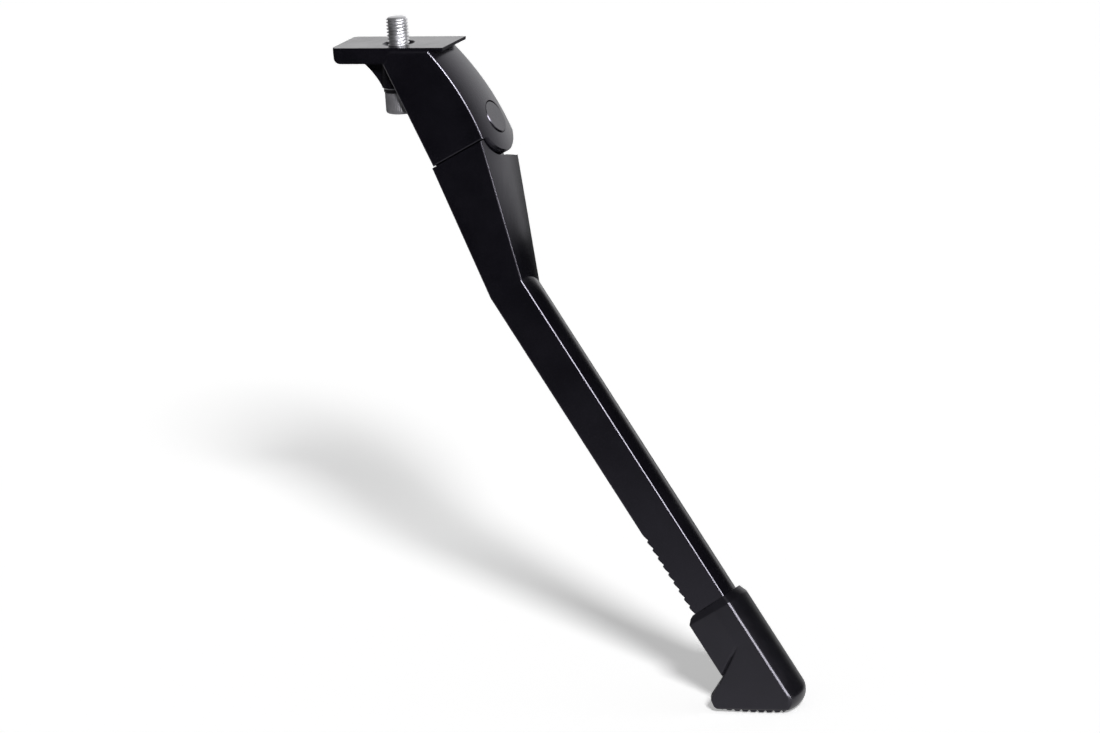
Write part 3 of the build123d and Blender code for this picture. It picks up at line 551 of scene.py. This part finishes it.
# %% Head surface and the whole bolt
HEAD_LOW, HEAD_RADIUS, HEAD_ROUND, SEAT_BEVEL = -31.8, 8.0, 1.1, 0.4
SEAT_MIDDLE, SEAT_GAP = 1.0, 0.1
RIB_COUNT, RIB_DEPTH, RIB_RISE, RIB_ABOVE, RIB_BELOW = 60, 0.13, 0.2, 0.7, 0.8
KEY_FLAT, KEY_DEPTH, KEY_MOUTH, KEY_BEVEL = 4.0, 5.0, 4.9, 0.6
DRILL_SHARE, DRILL_RISE = 0.2, 1.2


def head_surface(steps):
    """A turned head: flat seat, ribbed side, rounded lower edge, and a hexagon socket whose radius
    is the distance to the nearest of six flats."""
    angle = np.linspace(0, 2 * pi, steps, endpoint=False)[None, :]
    seat = np.array([[SEAT_MIDDLE], [SHANK_RADIUS + SEAT_GAP], [HEAD_RADIUS - SEAT_BEVEL]])
    ribs = RIB_DEPTH * (0.5 - 0.5 * np.cos(RIB_COUNT * angle))
    rib_top = HEAD_TOP - RIB_ABOVE
    rib_low = HEAD_LOW + HEAD_ROUND + RIB_BELOW
    side_z = np.array([[rib_top], [rib_top - RIB_RISE], [rib_low + RIB_RISE], [rib_low]])
    side_r = HEAD_RADIUS - ribs * np.array([[0.0], [1.0], [1.0], [0.0]])
    bend = np.linspace(0, pi / 2, 9)[:, None]
    edge_r = HEAD_RADIUS - HEAD_ROUND * (1 - np.cos(bend))
    edge_z = HEAD_LOW + HEAD_ROUND * (1 - np.sin(bend))
    hexagon = KEY_FLAT / np.cos((angle + pi / 6) % (pi / 3) - pi / 6)
    mouth = HEAD_LOW + KEY_BEVEL * (KEY_MOUTH - hexagon)
    floor = HEAD_LOW + KEY_DEPTH
    return np.concatenate([
        ring(seat, HEAD_TOP, angle), ring(HEAD_RADIUS, HEAD_TOP - SEAT_BEVEL, angle),
        ring(side_r, side_z, angle), ring(edge_r, edge_z, angle), ring(KEY_MOUTH, HEAD_LOW, angle),
        ring(hexagon, mouth, angle), ring(hexagon, floor, angle),
        ring(hexagon * DRILL_SHARE, floor + DRILL_RISE, angle)])


bolt = add_piece("bolt", [thread, head_surface(360)], [plated_steel, dark_steel],
                 "mounting_bolt", sharp=60)
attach(bolt, "head_body")

# %% [markdown]
# ## Foot: one loop
#
# The foot is moulded plastic: a sleeve round the shin that spreads into a toe on the inboard side,
# with a round heel and a ribbed pad. One loop makes sleeve, toe and heel. The loop is a rectangle
# with four rounded corners, and it is carried from the bottom of the socket up to the mouth, over
# the rim and down the outside to the sole. All places are counted from the point on the floor where
# the middle of the shin would land.

# %% Place of the foot and its loop
KICK = radians(30.9)
LEAN = np.tan(KICK)
KNEE = np.array([49.573, -112.859])
SHIN_MIDDLE = -3.0
SOLE_HEIGHT = cad_box[0].z / MM
SOLE_PLACE = KNEE[0] + (KNEE[1] - SOLE_HEIGHT) * LEAN
SIDE_POINTS = (24, 12, 12, 110)


def rounded_loop(width, depth, radii):
    """Distances from the left and from the front, going round a rectangle with rounded corners:
    the outboard side, the rear, the inboard side and the front. Each quarter arc is followed by a
    straight side, shared out evenly."""
    width, depth = np.broadcast_arrays(width, depth)
    bend = np.linspace(0, pi / 2, 9)[None, :]
    none = 0 * width
    middles = [(width - radii[0], none + radii[0]), (width - radii[1], depth - radii[1]),
               (none + radii[2], depth - radii[2]), (none + radii[3], none + radii[3])]
    across, back = [], []
    for corner, (radius, middle, count) in enumerate(zip(radii, middles, SIDE_POINTS)):
        turn = bend + (corner - 1) * pi / 2
        after = middles[(corner + 1) % 4]
        reach = radii[(corner + 1) % 4]
        arc = (middle[0] + radius * np.cos(turn), middle[1] + radius * np.sin(turn))
        target = (after[0] + reach * np.cos(turn[0, -1]), after[1] + reach * np.sin(turn[0, -1]))
        share = np.linspace(0, 1, count + 2)[None, 1:-1]
        across += [arc[0], arc[0][:, -1:] * (1 - share) + target[0] * share]
        back += [arc[1], arc[1][:, -1:] * (1 - share) + target[1] * share]
    return np.concatenate(across, axis=1), np.concatenate(back, axis=1)


def crown(back, radius, across, forward):
    """How far a crowned side reaches outboard at a depth: the edge of a circle."""
    return across + np.sqrt(radius**2 - (SHIN_MIDDLE - back - forward) ** 2)


print("foot stands", round(SOLE_PLACE, 1), "mm outboard of the bolt")

# %% [markdown]
# ## Foot: socket
#
# The shin slides in a hollow with a little room all round. On the inboard side the hollow is wider
# over a short stretch, where a leaf spring lies whose tooth drops into the rack. The rows of the
# loop start at the bottom of the hollow, so they run up its walls with their faces towards the shin.

# %% Socket surface
FOOT_LENGTH = 57.4
SOCKET_FLOOR, SOCKET_LEFT, SOCKET_WIDTH, SOCKET_THICKNESS = 47.0, -9.3, 18.5, 21.6
SOCKET_CORNERS = (0.9, 4.0, 4.0, 0.9)
POCKET_TOP, POCKET_LOW, POCKET_LEFT, POCKET_STEP = 3.6, 26.6, -11.5, 0.1


def foot_socket():
    """The hollow for the shin, from its bottom up to the mouth, wider where the latch lies. Its
    outboard wall follows the crown of the shin."""
    along = np.array([[SOCKET_FLOOR], [POCKET_LOW], [POCKET_LOW - POCKET_STEP],
                      [POCKET_TOP + POCKET_STEP], [POCKET_TOP], [0.0]])
    left = np.array([[SOCKET_LEFT], [SOCKET_LEFT], [POCKET_LEFT],
                     [POCKET_LEFT], [SOCKET_LEFT], [SOCKET_LEFT]])
    width = SOCKET_WIDTH - (left - SOCKET_LEFT)
    across, back = rounded_loop(width, SOCKET_THICKNESS, SOCKET_CORNERS)
    depth = SHIN_MIDDLE - SOCKET_THICKNESS / 2 + back
    side = crown(depth, radius=31.3, across=-21.08, forward=3.0)
    out = left + across / width * (side - left)
    up = FOOT_LENGTH - along
    return np.stack([out * cos(KICK) - up * sin(KICK), depth, out * sin(KICK) + up * cos(KICK)], -1)


socket = foot_socket()
print("socket:", socket.shape[0], "rows of", socket.shape[1], "points")

# %% [markdown]
# ## Foot: crease
#
# Above the toe a groove runs from the notch across the front face and fades out, and the face above
# it lies back a little. Such a crease could be bump in the material, but then the outline and the
# side views would not show it, so the front face itself is pushed in.

# %% Crease in the front face
NOTCH, CREASE_END = np.array([-24.56, 16.5]), np.array([-16.06, 31.0])
CREASE_DEPTH, CREASE_WIDTH, CREASE_START, CREASE_STOP, CREASE_FADE = 0.9, 0.55, -0.2, 1.12, 1.6
FACE_SETBACK, SETBACK_REACH, SETBACK_MOST, SETBACK_BLEND = 0.8, 14.74, 1.3, 0.8


def smooth_share(value):
    """A share that runs from 0 to 1 without a corner at either end."""
    share = np.clip(value, 0, 1)
    return share * share * (3 - 2 * share)


def crease_depth(x, z):
    """How far the front face is pushed in: a groove whose depth falls off like a bell beside its
    line and runs out along it, and above the line a setback that grows towards inboard."""
    line = CREASE_END - NOTCH
    length = np.hypot(*line)
    along = ((x - NOTCH[0]) * line[0] + (z - NOTCH[1]) * line[1]) / length**2
    beside = ((z - NOTCH[1]) * line[0] - (x - NOTCH[0]) * line[1]) / length
    run_out = smooth_share(CREASE_FADE * (CREASE_STOP - along)) * (along > CREASE_START)
    groove = CREASE_DEPTH * run_out * np.exp(-((beside / CREASE_WIDTH) ** 2))
    inboard = ((CREASE_END[0] - x) * cos(KICK) + (CREASE_END[1] - z) * sin(KICK)) / SETBACK_REACH
    above = smooth_share(beside / SETBACK_BLEND + 0.5)
    return groove + FACE_SETBACK * np.clip(inboard, 0, SETBACK_MOST) * above


print("crease", round(float(np.hypot(*(CREASE_END - NOTCH))), 1), "mm long")

# %% [markdown]
# ## Foot: outside
#
# Down the outside, the four sides of the loop follow the outlines of the foot: the sleeve and the
# toe inboard, the crowned side outboard, the flat front and the rear. The heel turns round because
# the rear and the outboard side draw in together near the floor. The rows start square to the shin
# at the mouth and end level with the floor.

# %% Outside surface
FOOT_FRONT, FOOT_REAR, INBOARD_SIDE = -16.5, 12.5, -12.6
MOUTH_INSET, MOUTH_DEPTH = 1.5, 3.5
HEM_LEVEL, HEM_ROUND, HEEL_ROUND = 1.4, 1.0, 7.6
TURN_FRONT, TURN_REAR = 5.8, 7.2
TOE_LEVELS = [0, 1.4, 2.6, 5.6, 7.0, 8.4, 16.5]
TOE_PLACES = [-26.4, -28.2, -29.5, -30.7, -30.9, -30.4, NOTCH[0]]
LOOP_WIDTH, LOOP_CORNERS = 30.0, (1.2, 5.0, 2.0, 0.9)
UPPER_ROWS, LOWER_ROWS, LOWER_SHARE, CROWDING = 110, 70, 0.3, 1.4
CREASE_REACH = 1.5


def draw_in(radius, level):
    """How far a rounded lower edge has drawn in at a level: a quarter circle, then nothing."""
    return radius - np.sqrt(radius**2 - np.clip(radius - level, 0, None) ** 2)


def foot_outside():
    """The outside: each row joins a height on the inboard outline with one on the outboard side.
    The rows lie closer together towards the floor, where the shape turns most."""
    upper = np.linspace(1, LOWER_SHARE, UPPER_ROWS)
    lower = LOWER_SHARE * np.linspace(1, 0, LOWER_ROWS)[1:] ** CROWDING
    height = np.concatenate([upper, lower])[:, None]
    bevel = MOUTH_INSET * np.clip((height - 1) * FOOT_LENGTH / MOUTH_DEPTH + 1, 0, 1)
    left_top = FOOT_LENGTH * cos(KICK) + INBOARD_SIDE * sin(KICK)
    left_z = HEM_LEVEL + (left_top - HEM_LEVEL) * height
    sleeve_x = INBOARD_SIDE / cos(KICK) - left_z * LEAN
    toe_x = np.interp(left_z, TOE_LEVELS, TOE_PLACES)
    left_x = np.where(left_z > NOTCH[1], sleeve_x, toe_x) + bevel / cos(KICK)
    front = FOOT_FRONT + bevel + draw_in(HEM_ROUND, left_z - HEM_LEVEL)
    rear = FOOT_REAR - bevel - draw_in(HEEL_ROUND, left_z)
    across, back = rounded_loop(LOOP_WIDTH, rear - front, LOOP_CORNERS)
    depth = front + back
    side = (crown(depth, radius=38.0, across=-25.44, forward=1.757) - bevel) / cos(KICK)
    right_top = (FOOT_LENGTH + side * sin(KICK)) * cos(KICK)
    right_z = HEM_LEVEL + (right_top - HEM_LEVEL) * height
    turn = TURN_FRONT + (TURN_REAR - TURN_FRONT) * (depth - FOOT_FRONT) / (FOOT_REAR - FOOT_FRONT)
    turn_top = turn * (1 + sin(KICK))
    turned_x = side - turn_top / cos(KICK) + np.sqrt(np.clip(turn**2 - (right_z - turn) ** 2, 0, None))
    right_x = np.where(right_z < turn_top, turned_x, side - right_z * LEAN)
    share = across / LOOP_WIDTH
    x = left_x + share * (right_x - left_x)
    z = left_z + share * (right_z - left_z)
    on_front = np.clip(CREASE_REACH - back, 0, 1)
    return np.stack([x, depth + crease_depth(x, z) * on_front, z], -1)


outside = foot_outside()
print("outside:", outside.shape[0], "rows of", outside.shape[1], "points")

# %% [markdown]
# ## Foot: ribbed pad
#
# Under the sole a pad with grooves across it grips the ground. It is a box carried outboard, whose
# lower side bows up slightly and has a groove every few millimetres. It reaches up into the sole,
# so no gap shows between the two, and both become one piece that slides with the foot.

# %% Pad and the whole foot
PAD_LEFT, PAD_RIGHT, PAD_ROWS = -26.5, 4.0, 245
PAD_INSET, PAD_REAR, PAD_TOP = 2.0, 5.0, 4.0
BOW_MIDDLE, BOW_REACH, BOW_RISE = -7.04, 21.0, 1.2
GROOVE_PITCH, GROOVE_PLACE, GROOVE_HALF, GROOVE_DEPTH = 3.9, -24.59, 0.95, 1.1


def foot_pad():
    """The ribbed pad: a four-sided loop carried outboard. Its lower side is a shallow parabola with
    a V-shaped groove at each pitch."""
    x = np.linspace(PAD_LEFT, PAD_RIGHT, PAD_ROWS)[:, None]
    half = GROOVE_PITCH / 2
    beside = np.abs((x - GROOVE_PLACE + half) % GROOVE_PITCH - half)
    bow = BOW_RISE * ((x - BOW_MIDDLE) / BOW_REACH) ** 2
    low = bow + GROOVE_DEPTH * np.clip(1 - beside / GROOVE_HALF, 0, 1)
    top = PAD_TOP + 0 * x
    pad_front = FOOT_FRONT + PAD_INSET
    depth = np.array([[pad_front, PAD_REAR, PAD_REAR, pad_front]]) + 0 * x
    return np.stack([x + 0 * depth, depth, np.concatenate([top, top, low, low], axis=1)], -1)


sole = np.array([SOLE_PLACE, 0.0, SOLE_HEIGHT])
shell = np.concatenate([socket, outside])
foot = add_piece("foot_shell", [shell + sole, foot_pad() + sole], [matt_plastic, matt_plastic],
                 "foot")
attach(foot, "foot_body")

# %% [markdown]
# ## Spring
#
# A compression spring between the hood's roof and the leg's tongue snaps the leg to either end of
# its swing. Its wire is a circle carried along a screw line whose pitch closes at both ends, so the
# last turns lie flat. One end sits on the head and the other on the leg.

# %% Spring from a carried circle
PIVOT = np.array([28.9, 5.0, -42.05])
TILT = radians(26.9)
DOWN_LEG = np.array([sin(TILT), 0.0, -cos(TILT)])
OUTBOARD = np.array([cos(TILT), 0.0, sin(TILT)])
REARWARD = np.array([0.0, 1.0, 0.0])
SPRING_TOP, SPRING_SEAT, SPRING_REAR, SPRING_GAP = -30.0, -8.0, 4.0, 0.05
COIL_RADIUS, COIL_TURNS, COIL_ROWS = 3.25, 6.0, 241
WIRE_RADIUS, WIRE_POINTS, CLOSED_PITCH = 0.72, 14, 1.05
spring_axis = PIVOT + REARWARD * SPRING_REAR


def coil_surface():
    """A circle carried along a screw line: out from the axis and across the wire give the two
    directions of the circle at each place along the line."""
    coil = np.linspace(0, 2 * pi * COIL_TURNS, COIL_ROWS)
    start = SPRING_TOP + WIRE_RADIUS + SPRING_GAP
    end = SPRING_SEAT - WIRE_RADIUS - SPRING_GAP
    close = 2 * WIRE_RADIUS * CLOSED_PITCH
    height = np.interp(coil / (2 * pi), [0, 1, COIL_TURNS - 1, COIL_TURNS],
                       [start, start + close, end - close, end])
    out = np.cos(coil)[:, None] * OUTBOARD + np.sin(coil)[:, None] * REARWARD
    middle = spring_axis + height[:, None] * DOWN_LEG + COIL_RADIUS * out
    along = np.gradient(middle, axis=0)
    along /= np.linalg.norm(along, axis=1, keepdims=True)
    across = np.cross(out, along)
    around = np.linspace(0, 2 * pi, WIRE_POINTS, endpoint=False)[:, None]
    circle = np.cos(around) * out[:, None] + np.sin(around) * across[:, None]
    return middle[:, None] + WIRE_RADIUS * circle


spring = add_piece("spring", [coil_surface()], [spring_steel], "overcentre_spring")
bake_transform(spring)
